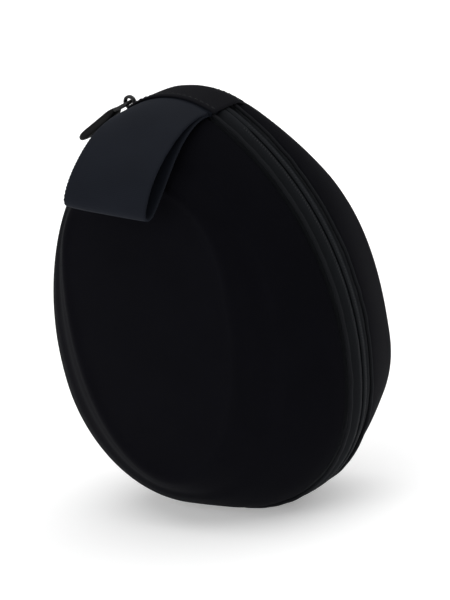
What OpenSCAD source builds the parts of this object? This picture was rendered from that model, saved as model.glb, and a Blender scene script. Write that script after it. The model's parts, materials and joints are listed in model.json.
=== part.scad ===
// Zipped carrying case for over-ear headphones: two moulded shells of fabric
// over foam, hinged by a fabric tab at the top and closed by a coil zipper
// that runs from one end of the tab round the rim to the other.
// +Z is up, the lid faces -Y, and the rim rests on the ground at Z = 0.

/* [Rim outline] */
// Height of the rim outline
outline_h = 198; // [180:1:230]
// Width of the rim outline
outline_w = 163.5; // [140:0.5:180]
// Radius of the arc across the top
top_r = 44.6; // [42:0.1:48]
// Height of the outline's widest place above its lowest
widest_h = 80.5; // [74:0.5:88]
// Half the length of the flat that it stands on
flat_half = 12; // [8:0.5:16]
// Half the width of the band between the two shell edges
band_half = 10; // [9:0.5:12]

/* [Lid shell] */
// Depth of the lid's face ridge from the zipper line
lid_ridge_depth = 47; // [40:0.5:52]
// Height of the lid's face over its ridge
lid_crown = 3.3; // [2:0.1:6]
// How far the ridge lies in from the rim at the sides
lid_side_inset = 34.5; // [28:0.5:38]
// How far the ridge lies below the rim's top
lid_top_inset = 27; // [22:0.5:30]
// How far the ridge lies above the rim's bottom
lid_bottom_inset = 23; // [18:0.5:28]
// Height of the ridge's widest place over the middle
lid_ridge_rise = 10; // [0:0.5:14]
// Power of the wall's fall from rim to ridge at the sides
lid_wall_power = 1.8; // [1.4:0.1:2.2]
// Power of the wall's fall at the top, under the strap
lid_top_power = 1.4; // [1.2:0.1:1.8]

/* [Back shell] */
// Depth of the back's face ridge from the zipper line
back_ridge_depth = 49.5; // [42:0.5:54]
// Height of the back's face over its ridge
back_crown = 3.2; // [2:0.1:6]
// How far the ridge lies in from the rim at the sides
back_side_inset = 13.5; // [10:0.5:20]
// How far the ridge lies below the rim's top
back_top_inset = 40; // [32:1:46]
// How far the ridge lies above the rim's bottom
back_bottom_inset = 18; // [14:0.5:26]
// Height of the ridge's widest place over the middle
back_ridge_rise = -33; // [-38:1:-24]
// Power of the wall's fall from rim to ridge, at the sides
back_wall_power = 1.4; // [1.2:0.1:2]
// Power of the wall's fall from rim to ridge, at the top
back_top_power = 2.1; // [1.6:0.1:2.4]

/* [Laminate] */
// Thickness of the cover fabric
cover_t = 1.2; // [0.8:0.1:2]
// Thickness of the moulded foam
core_t = 4; // [3:0.5:6]
// Thickness of the lining
lining_t = 0.8; // [0.6:0.1:1.5]
// How far the binding inside each rim stands off the foam's edge
binding_t = 1; // [0.8:0.1:1.5]

/* [Zipper] */
// Thickness of the zipper tape
tape_t = 0.8; // [0.6:0.1:1.2]
// How far the tape at the zipper line stands proud of the shells
band_proud = 2; // [1.5:0.1:3]
// Half the slit between the two tapes
slit_half = 0.6; // [0.5:0.1:1]
// Width of one row of coils
coil_w = 2.2; // [1.8:0.1:3]
// Depth of the coils behind the tape
coil_t = 1.8; // [1.4:0.1:2.4]
// Width of the piping on each shell edge
piping_w = 3; // [2.4:0.1:3.6]
// Gap between the slider's plates and what they run on
slider_gap = 0.5; // [0.4:0.05:0.8]
// Length of the slider
slider_l = 10; // [9:0.5:11]
// Width of the slider
slider_w = 9; // [8:0.5:11]
// Thickness of each slider plate
slider_plate = 1.3; // [1:0.1:1.6]
// Gap between the hinge tab's end and the parked slider
park_gap = 1.2; // [0.8:0.1:2]
// Outer radius of the slider's crown
crown_r = 3.4; // [3:0.1:4]
// Radius of the hole through the crown
crown_hole_r = 1.9; // [1.6:0.1:2.2]
// Width of the crown across the zipper
crown_w = 2.4; // [2:0.1:3]
// Length of the neck that joins the slider's plates
neck_l = 3; // [2:0.5:4]

/* [Pull] */
// Radius of the link's pin
pin_r = 0.9; // [0.7:0.1:1.1]
// Length of the link from pin to end bar
link_l = 10; // [9:0.5:12]
// Width of each of the link's bars
link_bar = 1.6; // [1.2:0.1:2]
// Gap between the link's bars and the crown
link_gap = 0.3; // [0.2:0.05:0.5]
// Length of the moulded grip
grip_l = 29; // [24:1:34]
// Width of the grip
grip_w = 8.6; // [8:0.2:11]
// Thickness of the grip
grip_t = 4.4; // [3.8:0.2:6]
// How steeply the link leaves the rim
link_tilt = 12; // [6:1:18]

/* [Hinge and strap] */
// How far the hinge tab is wider than the strap at each side
tab_margin = 0.2; // [0:0.1:1]
// Thickness of the hinge tab
tab_t = 1; // [0.8:0.1:1.5]
// How far the tab laps over the back shell
tab_lap = 7; // [5:0.5:12]
// Thickness of the web inside the hinge
web_t = 1; // [0.8:0.1:1.5]
// Width of the strap's webbing
strap_w = 45.6; // [36:0.2:50]
// Thickness of the strap's webbing
strap_t = 1.1; // [0.9:0.1:1.5]
// How far the loop reaches forward of the lid's face ridge
strap_out = 22; // [18:1:26]
// How far the loop hangs below the ridge's top
strap_hang = 11; // [6:1:15]
// Gap between soft pieces that only lie on each other
lay_gap = 0.3; // [0.2:0.05:0.5]

/* [Pocket] */
// Distance of the mesh pocket from the zipper line
pocket_depth = 34; // [30:1:36]
// Height of the pocket's mouth over the middle of the case
pocket_mouth = 8; // [-10:1:20]
// Thickness of the mesh
mesh_t = 0.8; // [0.6:0.1:1.2]
// Height of the elastic edge
elastic_h = 8; // [5:1:12]
// Thickness of the elastic edge
elastic_t = 2.4; // [1.8:0.2:3]

/* [Hidden] */

wall_t = cover_t + core_t + lining_t;
mid_z = outline_h / 2 + band_proud;

// Arcs of the right half of the outline, each tangent to the next: the top, a
// side whose centre is level with the widest place, and a bottom corner that
// runs out into the flat.
function normal(a) = [cos(a), sin(a)];
top_c = [0, outline_h / 2 - top_r];
widest_z = widest_h - outline_h / 2;
side_r = (pow(outline_w / 2, 2) + pow(top_c[1] - widest_z, 2) - top_r * top_r)
  / (outline_w - 2 * top_r);
side_c = [outline_w / 2 - side_r, widest_z];
corner_dx = flat_half - side_c[0];
corner_r = (side_r * side_r - corner_dx * corner_dx - widest_h * widest_h)
  / (2 * (side_r - widest_h));
corner_c = [flat_half, corner_r - outline_h / 2];
// Normal angles where the side arc meets the top arc and the corner
shoulder_angle = atan2(top_c[1] - widest_z, -side_c[0]);
hip_angle = atan2(widest_h - corner_r, corner_dx);

function half_point(a, off) =
  a >= shoulder_angle ? top_c + (top_r + off) * normal(a)
  : a >= -hip_angle ? side_c + (side_r + off) * normal(a)
  : corner_c + (corner_r + off) * normal(a);
// A station is [normal angle, side], where side is 1 right and -1 left.
function rim_point(st, off) =
  let (p = half_point(st[0], off)) [st[1] * p[0], p[1]];

// The tab covers the strap's root, and may end on the top arc or on the side.
tab_half = strap_w / 2 + tab_margin;
tab_on_top = tab_half < top_r * cos(shoulder_angle);
tab_angle = tab_on_top ? acos(tab_half / top_r) : acos((tab_half - side_c[0]) / side_r);
tab_steps = 4;
side_steps = 9;
corner_steps = 9;
function steps(a, b, n) = [for (i = [0 : n - 1]) a + (b - a) * i / n];
tab_angles = steps(90, tab_angle, tab_steps);
top_steps = ceil((tab_angle - shoulder_angle) / 6);
zip_angles = concat(tab_on_top ? steps(tab_angle, shoulder_angle, top_steps) : [],
  steps(min(tab_angle, shoulder_angle), -hip_angle, side_steps),
  steps(-hip_angle, -90, corner_steps), [-90]);
function right(angles) = [for (a = angles) [a, 1]];
function left(angles) = [for (i = [len(angles) - 1 : -1 : 0]) [angles[i], -1]];
function part_of(list, from, to) = [for (i = [from : to]) list[i]];
half_angles = concat(tab_angles, zip_angles);
loop_run = concat(right(half_angles), left(part_of(half_angles, 1, len(half_angles) - 1)));
zip_run = concat(right(zip_angles), left(zip_angles));
tab_all = concat(tab_angles, [tab_angle]);
tab_run = concat(left(part_of(tab_all, 1, tab_steps)), right(tab_all));
// The lid's chain is stiff up to here and soft from here to the tab.
end_stations = 3;
zip_last = len(zip_run) - 1;
lid_run = part_of(zip_run, 0, zip_last + 1 - end_stations);
lid_end_run = part_of(zip_run, zip_last + 1 - end_stations, zip_last);

// Sweeps a section of [offset, y] points along a run of rim stations.
module rim_sweep(section, run) {
  n = len(section);
  last = len(run) - 1;
  points = [for (st = run) for (s = section)
    let (p = rim_point(st, s[0])) [p[0], s[1], p[1]]];
  faces = concat(
    [[for (i = [n - 1 : -1 : 0]) i]],
    [for (k = [0 : last - 1]) for (i = [0 : n - 1])
      [k * n + i, k * n + (i + 1) % n, (k + 1) * n + (i + 1) % n, (k + 1) * n + i]],
    [[for (i = [0 : n - 1]) last * n + i]]);
  polyhedron(points, faces, convexity = 6);
}

// Everything is built on the back's side of the zipper line, in a frame whose
// origin is the middle of the outline, and then put in its place.
strap_reach = lid_ridge_depth - band_half + strap_out;
strap_drop = lid_top_inset + strap_hang;
front_reach = band_half + strap_reach;
seam_y = (front_reach - back_ridge_depth - back_crown) / 2;
module in_place() { translate([0, seam_y, mid_z]) children(); }
module lid_side() { in_place() mirror([0, 1, 0]) children(); }

// --- Shells -------------------------------------------------------------

wall_rings = 7;
crown_rings = 3;
// How much of a layer's depth also draws the ridge inwards
ridge_draw = 0.6;
top_square = 2.6;
bottom_square = 2.05;

// A form is [ridge depth, crown, side inset, top inset, bottom inset, rise,
// side power, top power].
lid_form = [lid_ridge_depth, lid_crown, lid_side_inset, lid_top_inset,
  lid_bottom_inset, lid_ridge_rise, lid_wall_power, lid_top_power];
back_form = [back_ridge_depth, back_crown, back_side_inset, back_top_inset,
  back_bottom_inset, back_ridge_rise, back_wall_power, back_top_power];

function ridge_point(form, c, d) =
  let (a = atan2(c[1] * outline_w / outline_h, c[0]),
    n = c[1] > 0 ? top_square : bottom_square,
    half_w = outline_w / 2 - form[2] - ridge_draw * d,
    half_h = (c[1] > 0 ? outline_h / 2 - form[3] - form[5]
      : outline_h / 2 - form[4] + form[5]) - ridge_draw * d,
    r = pow(pow(abs(cos(a)), n) + pow(abs(sin(a)), n), -1 / n))
  [half_w * r * cos(a), form[5] + half_h * r * sin(a)];

function wall_point(form, st, t, d) =
  let (c = rim_point(st, -d),
    p = ridge_point(form, c, d),
    topness = max(0, sin(st[0])),
    g = pow(t, form[6] + (form[7] - form[6]) * topness),
    q = c + (p - c) * g)
  [q[0], band_half + (form[0] - d - band_half) * t, q[1]];

function crown_point(form, st, rho, d) =
  let (p = ridge_point(form, rim_point(st, -d), d))
  [rho * p[0], form[0] - d + form[1] * (1 - rho * rho), form[5] + rho * (p[1] - form[5])];

function shell_points(form, d) = concat(
  [for (k = [0 : wall_rings]) for (st = loop_run) wall_point(form, st, k / wall_rings, d)],
  [for (k = [1 : crown_rings - 1]) for (st = loop_run)
    crown_point(form, st, 1 - k / crown_rings, d)],
  [[0, form[0] - d + form[1], form[5]]]);

function skin(base, n, rings) = concat(
  [for (k = [0 : rings - 2]) for (i = [0 : n - 1]) for (h = [0, 1])
    let (a = base + k * n + i, b = base + k * n + (i + 1) % n)
    h == 0 ? [a, b, b + n] : [a, b + n, a + n]],
  [for (i = [0 : n - 1])
    [base + (rings - 1) * n + i, base + (rings - 1) * n + (i + 1) % n, base + rings * n]]);
function flipped(faces) = [for (f = faces) [f[2], f[1], f[0]]];

module shell_layer(form, d_out, d_in) {
  n = len(loop_run);
  rings = wall_rings + crown_rings;
  inner = n * rings + 1;
  rim = [for (i = [0 : n - 1]) for (h = [0, 1])
    let (j = (i + 1) % n) h == 0 ? [i, inner + i, inner + j] : [i, inner + j, j]];
  polyhedron(concat(shell_points(form, d_out), shell_points(form, d_in)),
    concat(skin(0, n, rings), flipped(skin(inner, n, rings)), rim), convexity = 8);
}

module back_cover() color("#15161a") in_place() shell_layer(back_form, 0, cover_t);
module back_core() color("#3a3b3e") in_place() shell_layer(back_form, cover_t, cover_t + core_t);
module back_lining() color("#26272b")
  in_place() shell_layer(back_form, cover_t + core_t, wall_t);
module lid_cover() color("#101116") lid_side() shell_layer(lid_form, 0, cover_t);
module lid_core() color("#3a3b3e") lid_side() shell_layer(lid_form, cover_t, cover_t + core_t);
module lid_lining() color("#26272b") lid_side() shell_layer(lid_form, cover_t + core_t, wall_t);

// --- Band: bindings, piping, tapes and coils -----------------------------

// Offset of the tape's outer face at distance y from the zipper line
function tape_top(y) = band_proud * (1 - y / band_half);
tape_section = [[tape_top(band_half), band_half], [tape_top(slit_half), slit_half],
  [tape_top(slit_half) - tape_t, slit_half], [-tape_t, band_half]];
coil_out = slit_half + coil_w;
coil_section = [[tape_top(slit_half) - tape_t, slit_half],
  [tape_top(slit_half) - tape_t - coil_t, slit_half],
  [tape_top(coil_out) - tape_t - coil_t, coil_out], [tape_top(coil_out) - tape_t, coil_out]];
piping_in = band_half - piping_w;
piping_crest = band_proud;
piping_shoulder = 0.75 * piping_crest;
piping_crown = 0.3 * piping_w;
piping_section = [[tape_top(band_half), band_half], [piping_shoulder, band_half],
  [piping_crest, band_half - piping_crown], [piping_crest, piping_in + piping_crown],
  [piping_shoulder, piping_in], [tape_top(piping_in), piping_in]];
binding_section = [[tape_top(band_half - binding_t) - tape_t, band_half - binding_t],
  [-wall_t, band_half - binding_t], [-wall_t, band_half], [-tape_t, band_half]];

module tape(run) rim_sweep(tape_section, run);
module coil(run) rim_sweep(coil_section, run);
module back_zipper_tape() color("#17181b") in_place() tape(zip_run);
module back_zipper_coil() color("#0a0a0c") in_place() coil(zip_run);
module back_piping() color("#101114") in_place() rim_sweep(piping_section, zip_run);
module back_binding() color("#1d1e22") in_place() rim_sweep(binding_section, zip_run);
module lid_zipper_tape() color("#17181b") lid_side() tape(lid_run);
module lid_zipper_coil() color("#0a0a0c") lid_side() coil(lid_run);
module lid_tape_end() color("#17181b") lid_side() tape(lid_end_run);
module lid_coil_end() color("#0a0a0c") lid_side() coil(lid_end_run);
module lid_piping() color("#101114") lid_side() rim_sweep(piping_section, zip_run);
module lid_binding() color("#1d1e22") lid_side() rim_sweep(binding_section, zip_run);

// --- Hinge ---------------------------------------------------------------

tail_low = lay_gap;
tail_top = tail_low + 2 * strap_t;
tab_low = tail_top;
tab_top = tab_low + tab_t;
tab_front = band_half;
tab_back = band_half + tab_lap;
web_top = 0;

module hinge_web() color("#1d1e22") in_place()
  rim_sweep([[web_top, band_half], [web_top, -band_half],
    [web_top - web_t, -band_half], [web_top - web_t, band_half]], tab_run);
module hinge_tab() color("#15161a") in_place()
  rim_sweep([[tail_low + tab_t, tab_back], [tab_top, band_half - 1], [tab_top, -tab_front],
    [tab_low, -tab_front], [tab_low, band_half - 1 - tab_t], [tail_low, tab_back - tab_t],
    [tail_low, tab_back]], tab_run);

// --- Strap ---------------------------------------------------------------

// The loop's middle line in the y-z plane: [forward, down] as shares of the
// reach and the drop, for the outer run, the fold and the inner run.
strap_lines = [
  [[0, 0], [0.38, -0.01], [0.84, 0.52], [0.975, 0.9]],
  [[0.975, 0.9], [1.01, 1.0], [0.97, 1.05], [0.9, 1.0]],
  [[0.9, 1.0], [0.72, 0.82], [0.38, 0], [0, 0]]];
strap_steps = [10, 4, 10];
outer_root = tail_top - strap_t / 2;
inner_root = tail_low + strap_t / 2;

function bezier(p, t) = pow(1 - t, 3) * p[0] + 3 * pow(1 - t, 2) * t * p[1]
  + 3 * (1 - t) * t * t * p[2] + pow(t, 3) * p[3];
function slope(p, t) = 3 * pow(1 - t, 2) * (p[1] - p[0]) + 6 * (1 - t) * t * (p[2] - p[1])
  + 3 * t * t * (p[3] - p[2]);
// [forward, height over the rim's top, forward slope, height slope, arch share]
function strap_row(k, t) =
  let (p = bezier(strap_lines[k], t), s = slope(strap_lines[k], t),
    lift = k == 0 ? outer_root * (1 - t) : k == 2 ? inner_root * t : 0,
    f = p[0] * strap_reach, h = lift - p[1] * strap_drop,
    sf = s[0] * strap_reach, sh = -s[1] * strap_drop, l = norm([sf, sh]))
  [f, h, sf / l, sh / l, pow(max(0, 1 - p[0]), 1.5)];
strap_rows = concat(
  [for (i = [0 : strap_steps[0]]) strap_row(0, i / strap_steps[0])],
  [for (i = [1 : strap_steps[1]]) strap_row(1, i / strap_steps[1])],
  [for (i = [1 : strap_steps[2]]) strap_row(2, i / strap_steps[2])]);
strap_cols = 6;

function strap_point(r, j, side) =
  let (x = strap_w * (j / strap_cols - 0.5),
    sag = (top_r - sqrt(top_r * top_r - x * x)) * r[4],
    f = r[0] - side * strap_t / 2 * r[3], h = r[1] + side * strap_t / 2 * r[2])
  [x, band_half + lay_gap + f, outline_h / 2 + h - sag];

// A band of rows and columns with a thickness, closed all round
module thick_band(rows, cols, points) {
  row = cols + 1;
  under = rows * row;
  function at(k, j, s) = s * under + k * row + j;
  top = [for (k = [0 : rows - 2]) for (j = [0 : cols - 1]) for (h = [0, 1])
    h == 0 ? [at(k, j, 0), at(k, j + 1, 0), at(k + 1, j + 1, 0)]
    : [at(k, j, 0), at(k + 1, j + 1, 0), at(k + 1, j, 0)]];
  low = [for (k = [0 : rows - 2]) for (j = [0 : cols - 1]) for (h = [0, 1])
    h == 0 ? [at(k + 1, j + 1, 1), at(k, j + 1, 1), at(k, j, 1)]
    : [at(k + 1, j, 1), at(k + 1, j + 1, 1), at(k, j, 1)]];
  sides = [for (k = [0 : rows - 2]) for (j = [0, cols])
    j == 0 ? [at(k, 0, 0), at(k + 1, 0, 0), at(k + 1, 0, 1), at(k, 0, 1)]
    : [at(k, cols, 1), at(k + 1, cols, 1), at(k + 1, cols, 0), at(k, cols, 0)]];
  ends = [for (j = [0 : cols - 1]) for (k = [0, rows - 1])
    k == 0 ? [at(0, j, 1), at(0, j + 1, 1), at(0, j + 1, 0), at(0, j, 0)]
    : [at(k, j, 0), at(k, j + 1, 0), at(k, j + 1, 1), at(k, j, 1)]];
  polyhedron(points, concat(top, low, sides, ends), convexity = 8);
}

module handle_strap() color("#24262c") lid_side() {
  rows = len(strap_rows);
  thick_band(rows, strap_cols, concat(
    [for (r = strap_rows) for (j = [0 : strap_cols]) strap_point(r, j, 1)],
    [for (r = strap_rows) for (j = [0 : strap_cols]) strap_point(r, j, -1)]));
}
module strap_tail() color("#24262c") lid_side()
  rim_sweep([[tail_top, band_half], [tail_top, slit_half], [tail_low, slit_half],
    [tail_low, band_half]], tab_run);

// --- Mesh pocket inside the lid -------------------------------------------

// The lining's section at a depth, on the flats between its rings
module pocket_outline(depth, inset) {
  d = wall_t + inset;
  along = wall_rings * (depth - band_half) / (lid_ridge_depth - d - band_half);
  ring = floor(along);
  polygon([for (st = loop_run)
    let (a = wall_point(lid_form, st, ring / wall_rings, d),
      b = wall_point(lid_form, st, (ring + 1) / wall_rings, d),
      p = a + (b - a) * (along - ring))
    [p[0], p[2]]]);
}
module lid_plate(y0, t) {
  translate([0, y0 + t, 0]) rotate([90, 0, 0]) linear_extrude(t) children();
}
module below(z) translate([-outline_w, z - 2 * outline_h]) square([2 * outline_w, 2 * outline_h]);
module mesh_pocket() color("#1a1b1e") lid_side()
  lid_plate(pocket_depth, mesh_t) intersection() {
    pocket_outline(pocket_depth + mesh_t, lay_gap);
    below(pocket_mouth);
  }
module pocket_elastic() color("#0c0c0e") lid_side()
  lid_plate(pocket_depth + mesh_t / 2 - elastic_t / 2, elastic_t) intersection() {
    pocket_outline(pocket_depth + mesh_t / 2 + elastic_t / 2, lay_gap);
    difference() {
      below(pocket_mouth + elastic_h);
      below(pocket_mouth);
    }
  }

// --- Slider and pull -------------------------------------------------------

// The slider parks its own length clear of the tab's end. The way there runs
// along the rest of the top arc, if the tab ends on it, and then down the side.
function arc_deg(length, radius) = length / radius * 180 / PI;
park_way = slider_l / 2 + park_gap;
top_left = tab_on_top ? tab_angle - shoulder_angle : 0;
slider_angle = arc_deg(park_way, top_r) < top_left ? tab_angle - arc_deg(park_way, top_r)
  : min(tab_angle, shoulder_angle)
    - arc_deg(park_way - top_left * top_r * PI / 180, side_r);

// Puts its children on the band at the slider's parking place, with x along
// the zipper away from the tab, z outwards and z = 0 on the tape's middle.
module on_band() in_place() {
  p = rim_point([slider_angle, -1], tape_top(slit_half));
  translate([p[0], 0, p[1]]) mirror([1, 0, 0]) rotate([0, 90 - slider_angle, 0]) children();
}
upper_z = slider_gap;
coil_foot = tape_top(coil_out) - tape_top(slit_half) - tape_t - coil_t;
lower_z = coil_foot - slider_gap - slider_plate;
neck_gap = 0.2;
neck_t = 2 * (slit_half - neck_gap);
neck_inset = 0.8;
crown_inset = 3.1;
crown_x = crown_inset - slider_l / 2;
crown_sink = 0.6;
crown_z = upper_z + slider_plate + crown_r - crown_sink;
plate_corner = 1.5;

module rounded_plate(l, w, t, r) {
  linear_extrude(t) union() {
    square([l - 2 * r, w], center = true);
    square([l, w - 2 * r], center = true);
    for (i = [-1, 1]) for (j = [-1, 1])
      translate([i * (l / 2 - r), j * (w / 2 - r)]) circle(r, $fn = 24);
  }
}
module slider_body() color("#1b1b1d") on_band() {
  translate([0, 0, upper_z]) rounded_plate(slider_l, slider_w, slider_plate, plate_corner);
  translate([0, 0, lower_z]) rounded_plate(slider_l, slider_w, slider_plate, plate_corner);
  translate([neck_inset - slider_l / 2, -neck_t / 2, lower_z])
    cube([neck_l, neck_t, upper_z - lower_z + slider_plate]);
}
module across(w) rotate([90, 0, 0]) translate([0, 0, -w / 2]) linear_extrude(w) children();
crown_foot = upper_z + slider_plate;
module slider_crown() color("#1b1b1d") on_band() difference() {
  translate([crown_x, 0, 0]) across(crown_w) union() {
    translate([0, crown_z]) circle(crown_r, $fn = 48);
    translate([-crown_r, crown_foot]) square([2 * crown_r, crown_z - crown_foot]);
  }
  translate([crown_x, 0, 0]) across(crown_w + 2) union() {
    translate([0, crown_z]) circle(crown_hole_r, $fn = 48);
    translate([-2 * crown_r, crown_foot - 2 * crown_r]) square([4 * crown_r, 2 * crown_r]);
  }
}

link_w = crown_w + 2 * (link_gap + link_bar);
// Link frame: x from the pin towards the grip, tilted away from the rim
module on_link() on_band() translate([crown_x, 0, crown_z]) rotate([0, -link_tilt, 0]) children();
module pull_link() color("#2a2a2c") on_link() {
  rotate([90, 0, 0]) translate([0, 0, -link_w / 2]) cylinder(h = link_w, r = pin_r, $fn = 32);
  for (s = [-1, 1]) translate([0, s * (link_w - link_bar) / 2, 0]) across(link_bar) union() {
    circle(pin_r, $fn = 32);
    translate([0, -pin_r]) square([link_l, 2 * pin_r]);
  }
  translate([link_l - link_bar, -link_w / 2, -pin_r]) cube([link_bar, link_w, 2 * pin_r]);
}
// The grip is moulded over the link's end bar.
grip_over = 0.2 * link_bar;
grip_x = link_l - link_bar - grip_over;
grip_turn = 8;
slot_gap = 0.1;
module grip_profile(l, w) {
  r = w / 2;
  union() {
    translate([r, -r]) square([l - 2 * r, w]);
    translate([r, 0]) circle(r, $fn = 40);
    translate([l - r, 0]) circle(r, $fn = 40);
  }
}
module pull_grip() color("#1a1a1b") on_link() difference() {
  translate([grip_x, 0, 0]) rotate([0, grip_turn, 0]) intersection() {
    translate([0, 0, -grip_t / 2]) linear_extrude(grip_t) grip_profile(grip_l, grip_w);
    across(grip_w + 2) grip_profile(grip_l, grip_t);
  }
  translate([-slot_gap, -link_w / 2 - slot_gap, -pin_r - slot_gap])
    cube([link_l + 2 * slot_gap, link_w + 2 * slot_gap, 2 * (pin_r + slot_gap)]);
}

back_cover();
back_core();
back_lining();
back_binding();
back_piping();
back_zipper_tape();
back_zipper_coil();
hinge_tab();
hinge_web();
lid_cover();
lid_core();
lid_lining();
lid_binding();
lid_piping();
lid_zipper_tape();
lid_zipper_coil();
lid_tape_end();
lid_coil_end();
mesh_pocket();
pocket_elastic();
strap_tail();
handle_strap();
slider_body();
slider_crown();
pull_link();
pull_grip();
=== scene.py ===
# %% [markdown]
# # A zipped carrying case for headphones
#
# The case is two moulded shells of fabric over foam. A coil zipper runs round the rim between
# them, a fabric tab hinges them at the top, and a wide webbing loop hangs down the front.
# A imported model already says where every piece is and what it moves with. This lesson adds the
# looks around that frame, one piece at a time, and never moves the frame itself.
#
# First load the frame, and keep its box: the finished looks have to fill the same space.

# %% Load the frame
import json
import math

import bmesh
import bpy
from mathutils import Matrix, Vector, noise


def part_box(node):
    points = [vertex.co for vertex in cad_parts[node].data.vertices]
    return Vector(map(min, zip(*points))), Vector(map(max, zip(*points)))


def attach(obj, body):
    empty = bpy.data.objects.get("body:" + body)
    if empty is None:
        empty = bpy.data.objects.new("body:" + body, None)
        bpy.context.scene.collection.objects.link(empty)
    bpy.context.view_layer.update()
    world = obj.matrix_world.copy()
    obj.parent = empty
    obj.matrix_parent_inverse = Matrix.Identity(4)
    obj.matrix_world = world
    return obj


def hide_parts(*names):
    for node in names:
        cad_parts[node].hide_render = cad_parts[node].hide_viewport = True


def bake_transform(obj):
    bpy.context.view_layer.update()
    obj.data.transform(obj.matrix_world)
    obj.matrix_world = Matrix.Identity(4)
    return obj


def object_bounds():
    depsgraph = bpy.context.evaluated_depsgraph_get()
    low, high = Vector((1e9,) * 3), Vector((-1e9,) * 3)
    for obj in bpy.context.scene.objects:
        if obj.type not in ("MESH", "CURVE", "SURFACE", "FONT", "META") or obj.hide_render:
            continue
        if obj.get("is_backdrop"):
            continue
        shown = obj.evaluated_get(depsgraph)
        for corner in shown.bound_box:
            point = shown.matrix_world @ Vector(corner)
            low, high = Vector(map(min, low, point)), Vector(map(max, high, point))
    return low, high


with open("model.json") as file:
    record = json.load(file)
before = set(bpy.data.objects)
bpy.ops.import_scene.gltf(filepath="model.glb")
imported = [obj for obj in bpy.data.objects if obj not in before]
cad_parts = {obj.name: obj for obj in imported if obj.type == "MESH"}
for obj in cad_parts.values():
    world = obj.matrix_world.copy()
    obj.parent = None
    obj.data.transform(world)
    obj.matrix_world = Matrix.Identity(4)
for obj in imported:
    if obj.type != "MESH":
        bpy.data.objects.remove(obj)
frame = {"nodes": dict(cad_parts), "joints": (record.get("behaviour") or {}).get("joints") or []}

cad_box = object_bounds()
JOINTS = {joint["name"]: joint for joint in frame["joints"]}
print("nodes", len(frame["nodes"]), "box in mm", [[round(c * 1000, 1) for c in p] for p in cad_box])

# %% [markdown]
# ## Measures
#
# Cases are designed in millimetres and Blender works in metres, so shapes are worked out in
# millimetres and `case_point` turns them into metres as they are placed. It measures depth from
# the zipper line, positive towards the back, and height from the middle of the rim.

# %% Measures taken from the frame
MM = 0.001
SEAM_Y = JOINTS["lid_open"]["pos_m"][1] / MM
rim_low, rim_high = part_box("back_cover")
RIM_H = (rim_high.z - rim_low.z) / MM
MID_Z = (rim_high.z + rim_low.z) / 2 / MM
TAB_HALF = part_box("hinge_web")[1].x / MM
STRAP_W = 2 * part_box("handle_strap")[1].x / MM
BACK, LID = 1, -1


def case_point(x, depth, height):
    """A point in metres from millimetres: across, from the zipper line, from the rim's middle."""
    return Vector((x, SEAM_Y + depth, MID_Z + height)) * MM


print("rim height", round(RIM_H, 1), "tab half", round(TAB_HALF, 2), "strap", round(STRAP_W, 1))

# %% [markdown]
# ## The rim outline
#
# Seen from the front the rim is an egg with its narrow end up. A maker's pattern draws it with
# compasses: a small arc over the top, a large arc down each side and a corner that runs out
# into a short flat to stand on. Arcs that share a tangent join without a kink, so the radii
# follow from the height, the width and the height of the widest place. `rim_at` walks along
# those arcs by length, which later gives every tape and cord an even spacing.

# %% The rim outline as arcs
RIM_W = 163.5
TOP_R = 44.6
WIDEST_H = 80.5
FOOT_HALF = 12.0
top_mid = RIM_H / 2 - TOP_R
widest_z = WIDEST_H - RIM_H / 2
SIDE_R = ((RIM_W / 2) ** 2 + (top_mid - widest_z) ** 2 - TOP_R**2) / (RIM_W - 2 * TOP_R)
side_x = RIM_W / 2 - SIDE_R
foot_dx = FOOT_HALF - side_x
CORNER_R = (SIDE_R**2 - foot_dx**2 - WIDEST_H**2) / (2 * (SIDE_R - WIDEST_H))
SHOULDER = math.atan2(top_mid - widest_z, -side_x)
HIP = math.atan2(WIDEST_H - CORNER_R, foot_dx)
# Each arc is its centre, its radius and the normal angles where it starts and ends.
ARCS = [
    (0.0, top_mid, TOP_R, math.pi / 2, SHOULDER),
    (side_x, widest_z, SIDE_R, SHOULDER, -HIP),
    (FOOT_HALF, CORNER_R - RIM_H / 2, CORNER_R, -HIP, -math.pi / 2),
]
HALF_WAY = sum(r * (a - b) for _, _, r, a, b in ARCS) + FOOT_HALF
ROUND = 2 * HALF_WAY
TAB_WAY = TOP_R * math.asin(TAB_HALF / TOP_R)


def rim_at(way, out=0.0):
    """Point and normal at a length along the rim, from its top clockwise seen from the lid."""
    way %= ROUND
    side = 1 if way <= HALF_WAY else -1
    left = way if side > 0 else ROUND - way
    for x, z, r, a, b in ARCS:
        if left <= r * (a - b):
            normal = a - left / r
            n = Vector((math.cos(normal), math.sin(normal)))
            return Vector((side * (x + (r + out) * n.x), z + (r + out) * n.y)), \
                Vector((side * n.x, n.y))
        left -= r * (a - b)
    return Vector((side * (FOOT_HALF - left), -RIM_H / 2 - out)), Vector((0, -1))


print("rim length in mm", round(ROUND, 1), "side radius", round(SIDE_R, 1))

# %% [markdown]
# ## Surfaces drawn through rings
#
# Nearly every piece here is a line that was drawn through space: a shell is the rim drawn in
# towards its crown, a tape is its cross-section drawn along the rim. So `grow` makes a grid with
# one row for each ring of points, puts every row on its ring and welds the two edges where the
# rings close. Each vertex also gets its place on the flat cloth, which becomes the UV map, so
# that the weave follows the cloth and not the world.

# %% Helpers that grow a surface through rings
def grow(bm, rings):
    """Draws a surface through rings of points and returns its lines of vertices."""
    wide = len(rings[0]) + 1
    grid = bmesh.ops.create_grid(bm, x_segments=wide - 1, y_segments=len(rings) - 1, size=1)
    lines, weld = [], {}
    for i, ring in enumerate(rings):
        line = grid["verts"][i * wide : (i + 1) * wide]
        for vert, point in zip(line, ring):
            vert.co = point
        weld[line.pop()] = line[0]
        lines.append(line)
    bmesh.ops.weld_verts(bm, targetmap=weld)
    return lines


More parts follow.
